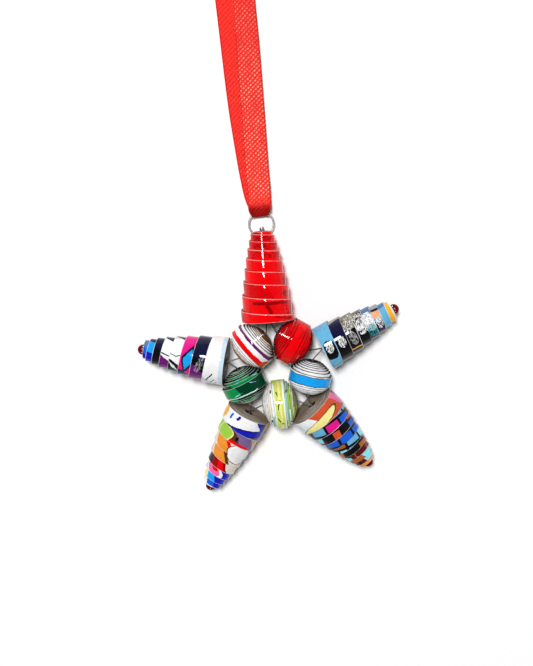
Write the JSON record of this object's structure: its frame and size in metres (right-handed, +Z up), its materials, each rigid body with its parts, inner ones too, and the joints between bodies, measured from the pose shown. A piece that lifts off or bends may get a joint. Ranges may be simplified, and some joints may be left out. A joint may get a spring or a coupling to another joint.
{
  "type": "paper bead star ornament",
  "caption": "Flat star of rolled and varnished card beads on a thin wire, cones round a ring of barrels, glass seed beads at the tips, on a red satin ribbon loop.",
  "frame": {"origin": "middle of the star's bounds on the plane it lies on, without the ribbon and its knot", "axes": "+Z up from the plane that the star lies on, +Y from the star towards the ribbon's knot, +X to the right seen from above"},
  "size_m": [0.0714, 0.2175, 0.0147],
  "materials": {
    "card_top": "varnished gloss",
    "card_left": "varnished gloss",
    "card_lower_left": "varnished gloss",
    "card_lower_right": "varnished gloss",
    "card_right": "varnished gloss",
    "card_red": "varnished gloss",
    "card_white": "varnished gloss",
    "card_green": "varnished gloss",
    "card_lime": "varnished gloss",
    "card_blue": "varnished gloss",
    "seed_glass": "polished",
    "wire_steel": "bright drawn",
    "ribbon_satin": "satin weave"
  },
  "bodies": {
    "stringing": {"stringing_wire": "wire_steel", "seed_bead_left": "seed_glass", "seed_bead_lower_left": "seed_glass", "seed_bead_lower_right": "seed_glass", "seed_bead_right": "seed_glass"},
    "cone_top": {"cone_bead_top": "card_top"},
    "cone_left": {"cone_bead_left": "card_left"},
    "cone_lower_left": {"cone_bead_lower_left": "card_lower_left"},
    "cone_lower_right": {"cone_bead_lower_right": "card_lower_right"},
    "cone_right": {"cone_bead_right": "card_right"},
    "barrel_red": {"barrel_bead_red": "card_red"},
    "barrel_white": {"barrel_bead_white": "card_white"},
    "barrel_green": {"barrel_bead_green": "card_green"},
    "barrel_lime": {"barrel_bead_lime": "card_lime"},
    "barrel_blue": {"barrel_bead_blue": "card_blue"},
    "ring": {"jump_ring": "wire_steel"},
    "ribbon": {"hanging_ribbon": "ribbon_satin", "ribbon_knot": "ribbon_satin"}
  },
  "joints": [
    {"name": "cone_top_spin", "type": "hinge", "parent": "stringing", "child": "cone_top", "pos_m": [-0.00002, 0.01006, 0.00746], "axis": [-0.0678, 0.9939, -0.0871], "continuous": true},
    {"name": "cone_left_spin", "type": "hinge", "parent": "stringing", "child": "cone_left", "pos_m": [-0.01133, -0.00151, 0.00724], "axis": [-0.9877, 0.1265, -0.0915], "continuous": true},
    {"name": "cone_lower_left_spin", "type": "hinge", "parent": "stringing", "child": "cone_lower_left", "pos_m": [-0.00508, -0.01595, 0.00658], "axis": [-0.4468, -0.8922, -0.0663], "continuous": true},
    {"name": "cone_lower_right_spin", "type": "hinge", "parent": "stringing", "child": "cone_lower_right", "pos_m": [0.01202, -0.01365, 0.00743], "axis": [0.6791, -0.7258, -0.1097], "continuous": true},
    {"name": "cone_right_spin", "type": "hinge", "parent": "stringing", "child": "cone_right", "pos_m": [0.01497, 0.00202, 0.00645], "axis": [0.8725, 0.4856, -0.0539], "continuous": true},
    {"name": "barrel_red_spin", "type": "hinge", "parent": "stringing", "child": "barrel_red", "pos_m": [0.0068, 0.00419, 0.007], "axis": [-0.8738, 0.4863, 0], "continuous": true},
    {"name": "barrel_white_spin", "type": "hinge", "parent": "stringing", "child": "barrel_white", "pos_m": [-0.00419, 0.00285, 0.007], "axis": [-0.7325, -0.6807, 0], "continuous": true},
    {"name": "barrel_green_spin", "type": "hinge", "parent": "stringing", "child": "barrel_green", "pos_m": [-0.00633, -0.00801, 0.007], "axis": [0.421, -0.907, 0], "continuous": true},
    {"name": "barrel_lime_spin", "type": "hinge", "parent": "stringing", "child": "barrel_lime", "pos_m": [0.00335, -0.0134, 0.007], "axis": [0.9928, 0.1201, 0], "continuous": true},
    {"name": "barrel_blue_spin", "type": "hinge", "parent": "stringing", "child": "barrel_blue", "pos_m": [0.01147, -0.00586, 0.007], "axis": [0.1925, 0.9813, 0], "continuous": true},
    {"name": "ring_swing", "type": "hinge", "parent": "stringing", "child": "ring", "pos_m": [-0.00153, 0.03207, 0.00105], "axis": [0.9977, 0.068, 0], "range_deg": [0, 45]},
    {"name": "ribbon_swing", "type": "hinge", "parent": "ring", "child": "ribbon", "pos_m": [-0.00211, 0.03879, 0.00105], "axis": [0.9945, 0.1045, 0], "range_deg": [0, 60]}
  ]
}
